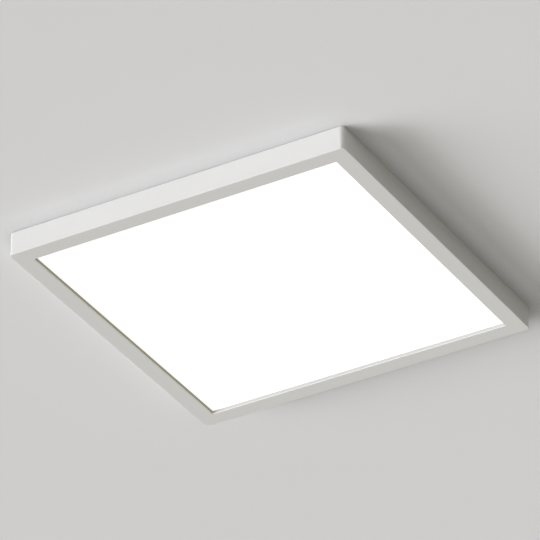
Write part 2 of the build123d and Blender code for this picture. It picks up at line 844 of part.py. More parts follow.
def positive_lead():
    """From the driver's right end round to the right board."""
    y = driver_y + lamp_rows[0]
    hole_y = lead_hole_y - lead_pair / 2
    points = [(driver_right - lead_inside, y, split_z), (driver_right + 16, y, split_z),
              (driver_right + 45, y + 22, lead_run_z), (lead_hole_x, y + 50, lead_run_z),
              (lead_hole_x, hole_y - 10, lead_drop_z)]
    return lead(points + board_drop(hole_y, 1), lamp_lead, "positive_lead")


def link_lead():
    """From the right board, along the wire clips, to the left board."""
    hole_y = lead_hole_y + lead_pair / 2
    y = lead_run_y + lead_pair / 2
    points = board_drop(hole_y, 1)[::-1]
    points += [(lead_hole_x - 10, hole_y - 5, lead_drop_z), (lead_run_half, y, lead_run_z)]
    points += [(-lead_run_half, y, lead_run_z), (10 - lead_hole_x, hole_y - 5, lead_drop_z)]
    return lead(points + board_drop(hole_y, -1), lamp_lead, "link_lead")


def negative_lead():
    """From the left board, along the wire clips, back to the driver's right end."""
    hole_y = lead_hole_y - lead_pair / 2
    y = lead_run_y - lead_pair / 2
    end_y = driver_y + lamp_rows[1]
    points = board_drop(hole_y, -1)[::-1]
    points += [(-lead_hole_x, hole_y - 9, lead_drop_z), (-lead_run_half, y, lead_run_z)]
    points += [(driver_right + 24, y, lead_run_z), (driver_right + 36, y - 18, lead_run_z)]
    points += [(driver_right + 24, end_y, split_z), (driver_right - lead_inside, end_y, split_z)]
    return lead(points, lamp_lead, "negative_lead")


def lead_grommets():
    """The two grommets in the cover, each with a bore for a pair of leads."""
    grommets = []
    for side in (-1, 1):
        spot = (side * lead_hole_x, lead_hole_y)
        body = post(grommet_flange, cover_top, cover_top + grommet_lip, spot)
        body += post(grommet_neck, cover_z, cover_top, spot)
        body += post(grommet_flange, cover_z - grommet_lip, cover_z, spot)
        grommets.append(body - post(grommet_bore, cover_z - grommet_lip, cover_top + grommet_lip, spot))
    return group(grommets)


def wire_clips():
    """The stick-on clips that hold the pair of leads along the back, slit on top to let them in."""
    clips = []
    top = cover_top + wire_clip_height
    for x in wire_clip_x:
        body = slab(wire_clip_length, wire_clip_width, cover_top, top, (x, lead_run_y))
        body = fillet(body.edges().group_by(Axis.Z)[-1].filter_by(Axis.X), wire_clip_round)
        for side in (-1, 1):
            y = lead_run_y + side * lead_pair / 2
            hole = Rot(0, 90, 0) * Cylinder(lamp_lead / 2 + lead_hole_fit, wire_clip_length)
            body -= Pos(x, y, lead_run_z) * hole
            body -= slab(wire_clip_length, wire_clip_slit, lead_run_z, top, (x, y))
        clips.append(body)
    return group(clips)


def earth_lug():
    """The crimped ring lug of the earth lead."""
    top = cover_top + lug_sheet
    body = post(lug_diameter, cover_top, top, (lug_x, lug_y))
    body += slab(lug_tongue, lug_barrel, cover_top, top, (lug_x - lug_tongue / 2, lug_y))
    body -= post(earth_diameter + 2 * screw_fit, cover_top, top, (lug_x, lug_y))
    barrel = Cylinder(lug_barrel / 2, lug_barrel_length)
    barrel -= Cylinder(mains_lead / 2 + lead_hole_fit, lug_barrel_length)
    middle = lug_x - lug_tongue - lug_barrel_length / 2
    return body + Pos(middle, lug_y, cover_top + lug_barrel / 2) * Rot(0, 90, 0) * barrel


def all_nodes():
    """Every piece by name."""
    earth_pole, neutral_pole, live_pole = pole_spots()
    cover_screw = Pos(0, 0, cover_top) * pan_screw(screw_diameter, screw_length, head_diameter, head_height)
    nodes = {
        "ceiling_bracket": ceiling_bracket(),
        "cable_bushing": cable_bushing(),
        "spring_clip_left": spring_clip(-1),
        "spring_clip_right": spring_clip(1),
        "clip_rivets": group([place * rivet(clip_sheet + bracket_sheet)
                              for side in (-1, 1) for place in clip_rivet_places(side)]),
        "earth_screw": earth_screw(),
        "earth_washer": earth_washer(),
        "front_frame": front_frame(),
        "diffuser_panel": stack_sheet(seat_z, diffuser_thickness),
        "light_guide": stack_sheet(guide_z, guide_thickness),
        "reflector_sheet": stack_sheet(reflector_z, reflector_thickness),
        "backing_pad": stack_sheet(pad_z, pad_thickness),
        "back_cover": back_cover(),
        "cover_screws": group([Pos(x, y, 0) * cover_screw for x, y in boss_spots()]),
        "catch_plate_left": catch_plate(-1),
        "catch_plate_right": catch_plate(1),
        "catch_rivets": group([Pos(x, y, cover_top + catch_sheet) * flush_rivet(catch_sheet + cover_sheet)
                               for x, y in catch_rivet_spots()]),
        "driver_tray": driver_tray(),
        "driver_lid": driver_lid(),
        "driver_board": driver_board(),
        "transformer_core": transformer_core(),
        "transformer_winding": transformer_winding(),
        "driver_capacitors": driver_capacitors(),
        "driver_choke": driver_choke(),
        "driver_chips": driver_chips(),
        "driver_fuse": driver_fuse(),
        "terminal_base": terminal_base(),
        "terminal_housing": terminal_housing(),
        "terminal_contacts": terminal_contacts(),
        "terminal_springs": terminal_springs(),
        "button_earth": release_button(earth_pole),
        "button_neutral": release_button(neutral_pole),
        "button_live": release_button(live_pole),
        "live_lead": lead(mains_route(live_pole, mains_rows[0]), mains_lead, "live_lead"),
        "neutral_lead": lead(mains_route(neutral_pole, mains_rows[1]), mains_lead, "neutral_lead"),
        "earth_lead": lead(earth_route(earth_pole), mains_lead, "earth_lead"),
        "positive_lead": positive_lead(),
        "link_lead": link_lead(),
        "negative_lead": negative_lead(),
        "lead_grommets": lead_grommets(),
        "wire_clips": wire_clips(),
        "earth_lug": earth_lug(),
    }
    for side, name in ((-1, "left"), (1, "right")):
        nodes["thermal_tape_" + name] = upright_bar(board_face + board_thickness, tape_thickness, side)
        nodes["led_board_" + name] = upright_bar(board_face, board_thickness, side)
        nodes["led_chips_" + name] = chip_row(side)
    seats = [cover_top + ear_thickness] * 2 + [base_top] * 2
    fittings = []
    for (x, y), seat in zip(fitting_spots(), seats):
        screw = pan_screw(screw_diameter, seat - cover_z, head_diameter, head_height)
        fittings.append(Pos(x, y, seat) * screw)
    nodes["fitting_screws"] = group(fittings)
    ground = pan_screw(earth_diameter, lug_sheet + cover_sheet, earth_head, earth_head_height)
    nodes["lug_screw"] = Pos(lug_x, lug_y, cover_top + lug_sheet) * ground
    return nodes


os.makedirs("parts", exist_ok=True)
for node, shape in all_nodes().items():
    export_step(shape, os.path.join("parts", node + ".step"))
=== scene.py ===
"""Looks of a square edge-lit ceiling light: finishes, fasteners, a plain ceiling and a camera."""

import json
from math import ceil, cos, pi, radians, sin, tau

import bmesh
import bpy
from bpy.props import FloatProperty, FloatVectorProperty, PointerProperty
from mathutils import Matrix, Vector

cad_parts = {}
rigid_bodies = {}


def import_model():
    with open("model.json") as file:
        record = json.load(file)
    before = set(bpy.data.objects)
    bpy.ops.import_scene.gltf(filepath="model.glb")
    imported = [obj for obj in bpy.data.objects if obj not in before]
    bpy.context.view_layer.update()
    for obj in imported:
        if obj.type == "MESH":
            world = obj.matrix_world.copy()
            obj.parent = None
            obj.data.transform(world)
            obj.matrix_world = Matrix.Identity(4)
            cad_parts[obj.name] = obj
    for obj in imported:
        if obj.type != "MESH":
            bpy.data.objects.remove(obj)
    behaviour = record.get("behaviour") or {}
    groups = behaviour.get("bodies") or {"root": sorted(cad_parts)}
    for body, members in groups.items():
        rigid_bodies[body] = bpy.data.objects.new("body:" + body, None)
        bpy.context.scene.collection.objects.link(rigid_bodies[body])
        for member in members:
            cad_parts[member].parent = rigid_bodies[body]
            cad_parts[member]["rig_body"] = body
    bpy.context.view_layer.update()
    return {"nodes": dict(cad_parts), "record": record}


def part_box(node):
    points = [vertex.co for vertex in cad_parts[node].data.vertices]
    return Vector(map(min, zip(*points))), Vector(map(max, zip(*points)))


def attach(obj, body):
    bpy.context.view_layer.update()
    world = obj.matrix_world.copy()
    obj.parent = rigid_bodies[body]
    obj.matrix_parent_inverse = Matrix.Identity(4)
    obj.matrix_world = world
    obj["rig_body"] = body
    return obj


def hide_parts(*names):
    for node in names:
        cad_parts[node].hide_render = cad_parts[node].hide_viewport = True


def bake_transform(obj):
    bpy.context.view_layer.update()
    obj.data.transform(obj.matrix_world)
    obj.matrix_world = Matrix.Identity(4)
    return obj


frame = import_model()

bl_info = {
    "name": "Square ceiling light",
    "version": (1, 0, 0),
    "blender": (4, 5, 0),
    "location": "3D View > Sidebar > Ceiling light",
    "description": "Finishes, fasteners and stage of a square edge-lit ceiling light",
    "category": "Object",
}

MM = 0.001
SLOTS = {part["node"]: part["material_slot"] for part in frame["record"]["subparts"]}
BUTTONS = ("button_earth", "button_neutral", "button_live")
CHIP_PITCH = 6 * MM
BLACK = (0.0, 0.0, 0.0)

# Sockets of a Mix node that take two colours and give one
MIX_FACTOR, MIX_FIRST, MIX_SECOND, MIX_RESULT = 0, 6, 7, 2

# Fineness of the meshes
SHARP_ANGLE = radians(32)
WELD = 0.001 * MM
ON_PLANE = 0.0001 * MM
SCREW_SIDES, SCREW_DOME, RINGS_PER_TURN = 40, 10, 8
RIVET_SIDES, RIVET_DOME = 32, 8

# Radians by which each screw of a row is turned past the one before
SCREW_TURN = 0.7


# Shader maths
def both_ways(operation):
    """The forward and the reflected form of one Math operation."""
    def forward(self, other):
        return self.nodes.math(operation, self, other)

    def reflected(self, other):
        return self.nodes.math(operation, other, self)

    return forward, reflected


class Field:
    """A socket in a node tree, on which Python's operators add Math nodes."""

    __add__, __radd__ = both_ways("ADD")
    __sub__, __rsub__ = both_ways("SUBTRACT")
    __mul__, __rmul__ = both_ways("MULTIPLY")
    __lt__, __gt__ = both_ways("LESS_THAN")

    def __init__(self, nodes, socket):
        self.nodes = nodes
        self.socket = socket

    def __abs__(self):
        return self.nodes.math("ABSOLUTE", self)


class Nodes:
    """A node tree in the making, worked out from points or directions in one space."""

    def __init__(self, tree, space):
        self.tree = tree
        self.points = self.node("ShaderNodeTexCoord", output=space)

    def feed(self, socket, value):
        """Link or set one input."""
        if isinstance(value, Field):
            self.tree.links.new(value.socket, socket)
        else:
            socket.default_value = value

    def node(self, kind, setup=None, inputs=None, output=0):
        """Add a node, set it up, feed its inputs and return one of its outputs."""
        made = self.tree.nodes.new(kind)
        for name, value in (setup or {}).items():
            setattr(made, name, value)
        for name, value in (inputs or {}).items():
            self.feed(made.inputs[name], value)
        return Field(self, made.outputs[output])

    def end(self, node, sockets):
        """Set or link the sockets of a node that the tree starts with."""
        for name, value in sockets.items():
            self.feed(self.tree.nodes[node].inputs[name], value)

    def math(self, operation, *values):
        """One Math node."""
        return self.node("ShaderNodeMath", {"operation": operation}, dict(enumerate(values)))

    def axis(self, name, vector=None):
        """One part of a vector, or of the tree's points or directions if none is given."""
        return self.node("ShaderNodeSeparateXYZ", inputs={"Vector": vector or self.points}, output=name)

    def path(self, *kinds):
        """1 for rays of any of the named kinds."""
        found = 0.0
        for kind in kinds:
            ray = self.node("ShaderNodeLightPath", output="Is %s Ray" % kind)
            found = self.math("MAXIMUM", found, ray)
        return found

    def blend(self, mask, first, second):
        """From the first colour to the second by a mask."""
        first = first if isinstance(first, Field) else (*first[:3], 1.0)
        second = second if isinstance(second, Field) else (*second[:3], 1.0)
        sockets = {MIX_FACTOR: mask, MIX_FIRST: first, MIX_SECOND: second}
        return self.node("ShaderNodeMix", {"data_type": "RGBA"}, sockets, MIX_RESULT)


class Finish(Nodes):
    """A material in the making: one Principled shader and the nodes that vary it over a surface."""

    def __init__(self, name, constants=None):
        self.material = bpy.data.materials.new(name)
        self.material.use_nodes = True
        super().__init__(self.material.node_tree, "Object")
        self.made(constants or {})

    def made(self, sockets):
        """Set or link the shader's own sockets, and give the material."""
        self.end("Principled BSDF", sockets)
        return self.material

    def facing(self, name):
        """One part of the surface's direction."""
        return self.axis(name, self.node("ShaderNodeNewGeometry", output="Normal"))

    def stretched(self, lengths):
        """Points divided by a length along each axis."""
        return self.node("ShaderNodeVectorMath", {"operation": "DIVIDE"}, {0: self.points, 1: lengths})

    def noise(self, size, detail=2.0):
        """Cloudy noise whose features have about the given size, or a size along each axis."""
        lengths = size if isinstance(size, tuple) else (size,) * 3
        where = self.stretched(lengths)
        return self.node("ShaderNodeTexNoise", inputs={"Vector": where, "Scale": 1.0, "Detail": detail})

    def cells(self, size, feature="F1", output="Distance", spread=1.0):
        """Cells of about the given size: the distance in each, or a colour for each."""
        sockets = {"Vector": self.stretched((size,) * 3), "Scale": 1.0, "Randomness": spread}
        return self.node("ShaderNodeTexVoronoi", {"feature": feature}, sockets, output)

    def grains(self, size):
        """One random number for each cell."""
        colour = self.cells(size, output="Color")
        return self.node("ShaderNodeSeparateColor", inputs={"Color": colour}, output="Red")

    def ease(self, value, low, high):
        """Rises smoothly from 0 at the low value to 1 at the high one."""
        sockets = {"Value": value, "From Min": low, "From Max": high}
        return self.node("ShaderNodeMapRange", {"interpolation_type": "SMOOTHSTEP"}, sockets)

    def every(self, value, pitch):
        """Distance to the nearest of evenly spaced lines."""
        return self.math("PINGPONG", value, pitch / 2)

    def bump(self, height, depth):
        """Relief of the given depth from a height between 0 and 1."""
        return self.node("ShaderNodeBump", inputs={"Height": height, "Distance": depth})


def shade(colour, share):
    """A colour at a share of its brightness."""
    return tuple(part * share for part in colour[:3])


def settings():
    """The light's settings in the open scene."""
    return bpy.context.scene.ceiling_light


def middle(node):
    """The middle of a CAD node's box."""
    low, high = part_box(node)
    return (low + high) / 2


# Finishes that show from below
def frame_paint(slot):
    """Matt powder coat with fine orange peel, and painted shade on the window's walls, darkest on the left
    one.
    """
    looks = settings().face
    low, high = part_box("front_frame")
    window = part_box("diffuser_panel")[0].z
    margin, lip_start, lip_full, faces_right = 0.05 * MM, 0.2 * MM, 0.8 * MM, 0.7
    paint = Finish(slot, {"Specular IOR Level": 0.3})
    x, y, z = map(paint.axis, "XYZ")
    peel = paint.noise(looks.paint_grain)
    drift = paint.noise(size=60 * MM)
    # Painted shade: the window's walls take darker colours than the frame, and the wall that faces +X, away
    # from the low lamp, a darker olive.
    within = paint.math("MAXIMUM", abs(x), abs(y)) < high.x - looks.rim + margin
    lip_shade_depth = paint.ease(z, low.z + lip_start, low.z + lip_full) * (z < window + MM)
    lip = paint.blend(paint.facing("X") > faces_right, looks.lip, looks.dull_lip)
    coat = paint.blend(drift, shade(looks.paint, 0.985), looks.paint)
    return paint.made({
        "Base Color": paint.blend(within * lip_shade_depth, coat, lip),
        "Roughness": 0.6 + 0.1 * peel,
        "Normal": paint.bump(peel, depth=0.006 * MM),
    })


def opal_sheet(slot):
    """Opal sheet with a satin grain, a little brighter by the light bars at its left and right."""
    looks = settings().face
    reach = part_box("diffuser_panel")[1].x
    opal = Finish(slot, {"Emission Strength": looks.glow_strength})
    grain = opal.noise(size=0.25 * MM)
    haze = opal.noise(size=25 * MM)
    near_bar = opal.ease(abs(opal.axis("X")), low=0.3 * reach, high=reach)
    return opal.made({
        "Base Color": opal.blend(haze, shade(looks.opal, 0.98), looks.opal),
        "Emission Color": opal.blend(near_bar, shade(looks.glow, 0.94), looks.glow),
        "Roughness": 0.3 + 0.15 * grain,
        "Normal": opal.bump(grain, depth=0.01 * MM),
    })


# Finishes of the optical stack and the light bars
def clear_guide(slot):
    """Clear acrylic with rows of printed dots that let the light out."""
    guide = Finish(slot, {"Transmission Weight": 0.9, "IOR": 1.49})
    dots = 1 - guide.ease(guide.cells(size=2.4 * MM, spread=0.0), low=0.18, high=0.24)
    swirl = guide.noise(size=30 * MM)
    clear = guide.blend(swirl, (0.86, 0.93, 0.95), (0.92, 0.96, 0.97))
    return guide.made({
        "Base Color": guide.blend(dots, clear, (0.93, 0.94, 0.94)),
        "Roughness": 0.04 + 0.5 * dots,
        "Normal": guide.bump(dots, depth=0.02 * MM),
    })


def white_film(slot):
    """White reflector film with a pearly drift."""
    film = Finish(slot)
    pearl = film.noise(size=(40 * MM, 12 * MM, 12 * MM))
    fine = film.noise(size=0.4 * MM)
    return film.made({
        "Base Color": film.blend(pearl, (0.86, 0.87, 0.88), (0.93, 0.93, 0.92)),
        "Roughness": 0.42 + 0.16 * fine,
        "Normal": film.bump(fine, depth=0.01 * MM),
    })


def grey_foam(slot):
    """Closed-cell foam with its cut cells."""
    foam = Finish(slot)
    cell = foam.cells(size=0.9 * MM)
    cloud = foam.noise(size=15 * MM)
    tone = foam.blend(cloud, (0.17, 0.17, 0.18), (0.24, 0.24, 0.25))
    return foam.made({
        "Base Color": foam.blend(cell, (0.12, 0.12, 0.126), tone),
        "Roughness": 0.82 + 0.12 * cell,
        "Normal": foam.bump(cell, depth=0.15 * MM),
    })


def thermal_tape(slot):
    """Grey heat-transfer tape with a fine filler."""
    tape = Finish(slot)
    filler = tape.grains(size=0.2 * MM)
    cloud = tape.noise(size=8 * MM)
    return tape.made({
        "Base Color": tape.blend(filler * cloud, (0.26, 0.27, 0.29), (0.4, 0.42, 0.45)),
        "Roughness": 0.6 + 0.2 * filler,
        "Normal": tape.bump(filler, depth=0.01 * MM),
    })


def white_board(slot):
    """White solder mask with copper tracks under it and a tinned pad at each chip."""
    track_place, track_half = 1.3 * MM, 0.25 * MM
    pad_half_length, pad_half_height = 0.6 * MM, 0.9 * MM
    board = Finish(slot)
    height = abs(board.axis("Z") - middle("led_board_left").z)
    track = abs(height - track_place) < track_half
    pad = (board.every(board.axis("Y"), CHIP_PITCH) < pad_half_length) * (height < pad_half_height)
    fine = board.noise(size=0.3 * MM)
    mask = board.blend(track, (0.83, 0.84, 0.8), (0.74, 0.74, 0.66))
    return board.made({
        "Base Color": board.blend(pad, mask, (0.62, 0.62, 0.6)),
        "Metallic": pad * 0.9,
        "Roughness": 0.34 + 0.12 * fine,
        "Normal": board.bump(track, depth=0.02 * MM),
    })


def light_chip(slot):
    """White chip package with a yellow phosphor window that glows."""
    half_length, half_height = 1.5 * MM, 0.5 * MM
    chip = Finish(slot, {"Emission Strength": 1.0})
    height = abs(chip.axis("Z") - middle("led_chips_left").z)
    window = (chip.every(chip.axis("Y"), CHIP_PITCH) < half_length) * (height < half_height)
    speck = chip.noise(size=0.1 * MM)
    phosphor = chip.blend(speck, (0.8, 0.55, 0.1), (0.9, 0.68, 0.2))
    return chip.made({
        "Base Color": chip.blend(window, (0.86, 0.86, 0.84), phosphor),
        "Emission Color": chip.blend(window, BLACK, (0.7, 0.6, 0.35)),
        "Roughness": 0.3 + 0.25 * window + 0.1 * speck,
    })


# Metals
def zinc_sheet(slot):
    """Galvanised sheet: faint spangle, rolling lines along X and a slow dulling."""
    looks = settings().metal
    sheet = Finish(slot, {"Metallic": 1.0, "Anisotropic": 0.25})
    spangle = sheet.grains(looks.spangle)
    rolled = sheet.noise(size=(45 * MM, 0.7 * MM, 0.7 * MM), detail=3.0)
    dulled = sheet.noise(size=35 * MM, detail=3.0)
    tone = 0.4 * spangle + 0.35 * dulled + 0.25 * rolled
    return sheet.made({
        "Base Color": sheet.blend(tone, shade(looks.zinc, 0.86), looks.zinc),
        "Roughness": 0.43 + 0.1 * dulled + 0.04 * spangle + 0.05 * rolled,
        "Normal": sheet.bump(rolled, depth=0.004 * MM),
    })


def sprung_steel(slot):
    """Tempered spring steel: dark, with fine lines along Y and a blue and straw bloom."""
    steel = Finish(slot, {"Metallic": 1.0, "Anisotropic": 0.35})
    lines = steel.noise(size=(0.25 * MM, 9 * MM, 0.25 * MM), detail=3.0)
    bloom = steel.noise(size=5 * MM)
    tinted = steel.blend(bloom, (0.2, 0.23, 0.29), (0.33, 0.28, 0.2))
    return steel.made({
        "Base Color": steel.blend(0.25 * bloom + 0.2 * lines, settings().metal.spring, tinted),
        "Roughness": 0.24 + 0.2 * lines,
        "Normal": steel.bump(lines, depth=0.004 * MM),
    })


def plated_steel(slot):
    """Bright zinc plating on small fasteners, with a faint straw and blue passivation."""
    plate = Finish(slot, {"Metallic": 1.0})
    bloom = plate.noise(size=3 * MM)
    pits = plate.noise(size=0.2 * MM)
    tint = plate.blend(bloom, (0.58, 0.62, 0.7), (0.72, 0.68, 0.55))
    return plate.made({
        "Base Color": plate.blend(0.35 + 0.3 * bloom, settings().metal.plating, tint),
        "Roughness": 0.2 + 0.14 * pits + 0.08 * bloom,
        "Normal": plate.bump(pits, depth=0.004 * MM),
    })


def contact_brass(slot):
    """Stamped brass with a drift of tarnish."""
    brass = Finish(slot, {"Metallic": 1.0})
    tarnish = brass.noise(size=4 * MM, detail=4.0)
    lines = brass.noise(size=(0.2 * MM, 6 * MM, 0.2 * MM))
    return brass.made({
        "Base Color": brass.blend(tarnish, (0.56, 0.38, 0.13), settings().metal.brass),
        "Roughness": 0.22 + 0.18 * tarnish + 0.08 * lines,
        "Normal": brass.bump(lines, depth=0.004 * MM),
    })


# Mouldings and rubber
# Each moulding's colour in the settings, the size of its grain, its least roughness and the grain's depth
MOULDINGS = {
    "driver_white": ("case", 0.45 * MM, 0.4, 0.02 * MM),
    "terminal_grey": ("terminal", 0.3 * MM, 0.34, 0.012 * MM),
    "button_orange": ("button", 0.25 * MM, 0.3, 0.008 * MM),
    "clip_white": ("clip", 0.35 * MM, 0.38, 0.012 * MM),
    "package_black": ("package", 0.15 * MM, 0.5, 0.012 * MM),
}


def moulded(slot):
    """Moulded plastic with a spark-eroded grain and a slow drift of tone."""
    name, grain, rough, depth = MOULDINGS[slot]
    colour = getattr(settings().plastic, name)
    plastic = Finish(slot)
    fine = plastic.noise(grain)
    drift = plastic.noise(size=22 * MM, detail=3.0)
    return plastic.made({
        "Base Color": plastic.blend(drift, shade(colour, 0.95), colour),
        "Roughness": rough + 0.12 * fine + 0.05 * drift,
        "Normal": plastic.bump(fine, depth),
    })


def black_rubber(slot):
    """Black rubber with a dusty bloom."""
    rubber = Finish(slot)
    fine = rubber.noise(size=0.3 * MM)
    bloom = rubber.noise(size=6 * MM, detail=4.0)
    return rubber.made({
        "Base Color": rubber.blend(bloom, (0.012, 0.012, 0.013), (0.03, 0.03, 0.031)),
        "Roughness": 0.6 + 0.2 * bloom + 0.1 * fine,
        "Normal": rubber.bump(fine, depth=0.02 * MM),
    })


# Leads
# Colours of the leads' plain insulation
SLEEVES = {
    "lead_brown": (0.085, 0.035, 0.016),
    "lead_blue": (0.02, 0.09, 0.4),
    "lead_red": (0.45, 0.015, 0.012),
    "lead_white": (0.74, 0.74, 0.71),
    "lead_black": (0.02, 0.02, 0.021),
}


def sleeved(slot):
    """Soft insulation with a drift of tone and faint drawing marks. The earth lead's has yellow stripes."""
    sleeve = Finish(slot)
    drift = sleeve.noise(size=9 * MM)
    scuff = sleeve.noise(size=0.5 * MM, detail=3.0)
    if slot in SLEEVES:
        tone = sleeve.blend(drift, shade(SLEEVES[slot], 0.82), SLEEVES[slot])
    else:
        green = sleeve.blend(drift, (0.05, 0.2, 0.03), (0.07, 0.27, 0.04))
        stripe = 1 - sleeve.ease(abs(sleeve.facing("Z")), low=0.74, high=0.8)
        tone = sleeve.blend(stripe, green, (0.72, 0.6, 0.03))
    return sleeve.made({
        "Base Color": tone,
        "Roughness": 0.32 + 0.16 * scuff,
        "Normal": sleeve.bump(scuff, depth=0.01 * MM),
    })


# Finishes inside the driver
def green_board(slot):
    """Green solder mask over a net of copper tracks, with tinned dots."""
    board = Finish(slot)
    track = 1 - board.ease(board.cells(size=7 * MM, feature="DISTANCE_TO_EDGE"), low=0.05, high=0.08)
    dots = 1 - board.ease(board.cells(size=5 * MM), low=0.13, high=0.16)
    fine = board.noise(size=0.3 * MM)
    mask = board.blend(track, (0.012, 0.09, 0.03), (0.03, 0.17, 0.05))
    return board.made({
        "Base Color": board.blend(dots, mask, (0.6, 0.6, 0.57)),
        "Metallic": dots * 0.9,
        "Roughness": 0.3 + 0.12 * fine,
        "Normal": board.bump(track + dots, depth=0.03 * MM),
    })


def ferrite(slot):
    """Sintered ferrite: dark, with pale specks."""
    core = Finish(slot)
    speck = core.grains(size=0.35 * MM)
    cloud = core.noise(size=5 * MM)
    return core.made({
        "Base Color": core.blend(speck * cloud, (0.012, 0.012, 0.014), (0.07, 0.07, 0.075)),
        "Roughness": 0.5 + 0.2 * speck,
        "Normal": core.bump(speck, depth=0.02 * MM),
    })


def winding_tape(slot):
    """Yellow film tape over the winding, ridged by the wire under it."""
    wire = 0.7 * MM
    tape = Finish(slot)
    ridge = tape.every(tape.axis("Y"), wire) * (2 / wire)
    crease = tape.noise(size=(4 * MM, MM, 4 * MM), detail=3.0)
    return tape.made({
        "Base Color": tape.blend(crease, (0.42, 0.24, 0.02), (0.6, 0.4, 0.05)),
        "Roughness": 0.16 + 0.2 * crease,
        "Normal": tape.bump(ridge + 0.5 * crease, depth=0.05 * MM),
    })


def can_sleeve(slot):
    """Shrink sleeve with a pale polarity band, open at the bare aluminium ends."""
    can = Finish(slot)
    end = can.ease(abs(can.facing("X")), low=0.9, high=0.97)
    band = can.ease(can.facing("Y"), low=0.86, high=0.9) * (1 - end)
    fine = can.noise(size=0.4 * MM)
    sleeve = can.blend(band, (0.012, 0.016, 0.04), (0.4, 0.44, 0.5))
    return can.made({
        "Base Color": can.blend(end, sleeve, (0.72, 0.72, 0.73)),
        "Metallic": end,
        "Roughness": 0.2 + 0.14 * fine + 0.1 * end,
        "Normal": can.bump(fine, depth=0.01 * MM),
    })


def fuse_body(slot):
    """Cement-coated fuse resistor with plain colour bands."""
    band_pitch, band_half = 2 * MM, 0.35 * MM
    fuse = Finish(slot)
    band = fuse.every(fuse.axis("Y") - middle("driver_fuse").y, band_pitch) < band_half
    fine = fuse.noise(size=0.3 * MM)
    coat = fuse.blend(fine, (0.2, 0.32, 0.25), (0.27, 0.4, 0.32))
    return fuse.made({
        "Base Color": fuse.blend(band, coat, (0.1, 0.03, 0.015)),
        "Roughness": 0.4 + 0.15 * fine,
        "Normal": fuse.bump(fine, depth=0.02 * MM),
    })


FINISHES = {
    "frame_white": frame_paint,
    "diffuser_opal": opal_sheet,
    "guide_clear": clear_guide,
    "reflector_white": white_film,
    "foam_grey": grey_foam,
    "tape_grey": thermal_tape,
    "board_white": white_board,
    "chip_phosphor": light_chip,
    "zinc_steel": zinc_sheet,
    "spring_steel": sprung_steel,
    "fastener_steel": plated_steel,
    "contact_brass": contact_brass,
    "bushing_rubber": black_rubber,
    "circuit_green": green_board,
    "ferrite_grey": ferrite,
    "winding_tape": winding_tape,
    "can_sleeve": can_sleeve,
    "fuse_body": fuse_body,
    **dict.fromkeys(MOULDINGS, moulded),
    **dict.fromkeys((*SLEEVES, "lead_earth"), sleeved),
}
made_finishes = {}


def finish_for(slot):
    """The material of a slot, made when it is first asked for."""
    if slot not in made_finishes:
        made_finishes[slot] = FINISHES[slot](slot)
    return made_finishes[slot]


def dress(*nodes):
    """Give CAD nodes the finish of their slots."""
    for node in nodes:
        frame["nodes"][node].material_slots[0].material = finish_for(SLOTS[node])


# Meshes of the fasteners and the leaf springs
def joined(node):
    """A copy of a CAD node's mesh with its faces joined up."""
    mesh = bmesh.new()
    mesh.from_mesh(frame["nodes"][node].data)
    bmesh.ops.remove_doubles(mesh, verts=mesh.verts, dist=WELD)
    return mesh


def islands(node):
    """Middle and size of each separate solid in a CAD node, in order of place."""
    mesh = joined(node)
    seen = set()
    boxes = []
    for first in mesh.verts:
        if first in seen:
            continue
        seen.add(first)
        island = [first]
        for vertex in island:
            for edge in vertex.link_edges:
                other = edge.other_vert(vertex)
                if other not in seen:
                    seen.add(other)
                    island.append(other)
        low = Vector(min(v.co[i] for v in island) for i in range(3))
        high = Vector(max(v.co[i] for v in island) for i in range(3))
        boxes.append((low, high))
    mesh.free()
    boxes.sort(key=lambda box: tuple(box[0]))
    return [((low + high) / 2, high - low) for low, high in boxes]


def revolved(rings, sides):
    """A closed solid about Z through rings of height and radius, where a radius may vary by angle."""
    mesh = bmesh.new()
    angles = [tau * i / sides for i in range(sides)]
    loops = []
    for height, radius in rings:
        reaches = [radius(angle) if callable(radius) else radius for angle in angles]
        loops.append([mesh.verts.new((reach * cos(angle), reach * sin(angle), height))
                      for angle, reach in zip(angles, reaches)])
    for lower, upper in zip(loops, loops[1:]):
        for i in range(sides):
            j = (i + 1) % sides
            mesh.faces.new((lower[i], lower[j], upper[j], upper[i]))
    mesh.faces.new(loops[0][::-1])
    mesh.faces.new(loops[-1])
    return mesh


def dome(foot, crown, steps):
    """Rings that curve in from a foot to a crown, each given by its height and radius."""
    (low, wide), (high, narrow) = foot, crown
    turns = [pi / 2 * i / steps for i in range(1, steps)]
    rings = [(low + (high - low) * sin(turn), narrow + (wide - narrow) * cos(turn)) for turn in turns]
    return [foot, *rings, crown]


def as_mesh(solid, name):
    """A mesh from a bmesh, smooth but for its sharp edges."""
    mesh = bpy.data.meshes.new(name)
    solid.to_mesh(mesh)
    solid.free()
    mesh.shade_smooth()
    mesh.set_sharp_from_angle(angle=SHARP_ANGLE)
    return mesh


def cut(body, cutter, name):
    """The body's mesh less the cutter's."""
    objects = [bpy.data.objects.new(name, mesh) for mesh in (body, cutter)]
    for made in objects:
        bpy.context.scene.collection.objects.link(made)
    modifier = objects[0].modifiers.new("recess", "BOOLEAN")
    modifier.object = objects[1]
    modifier.solver = "EXACT"
    graph = bpy.context.evaluated_depsgraph_get()
    result = bpy.data.meshes.new_from_object(objects[0].evaluated_get(graph))
    for made in objects:
        bpy.data.objects.remove(made)
    result.set_sharp_from_angle(angle=SHARP_ANGLE)
    return result


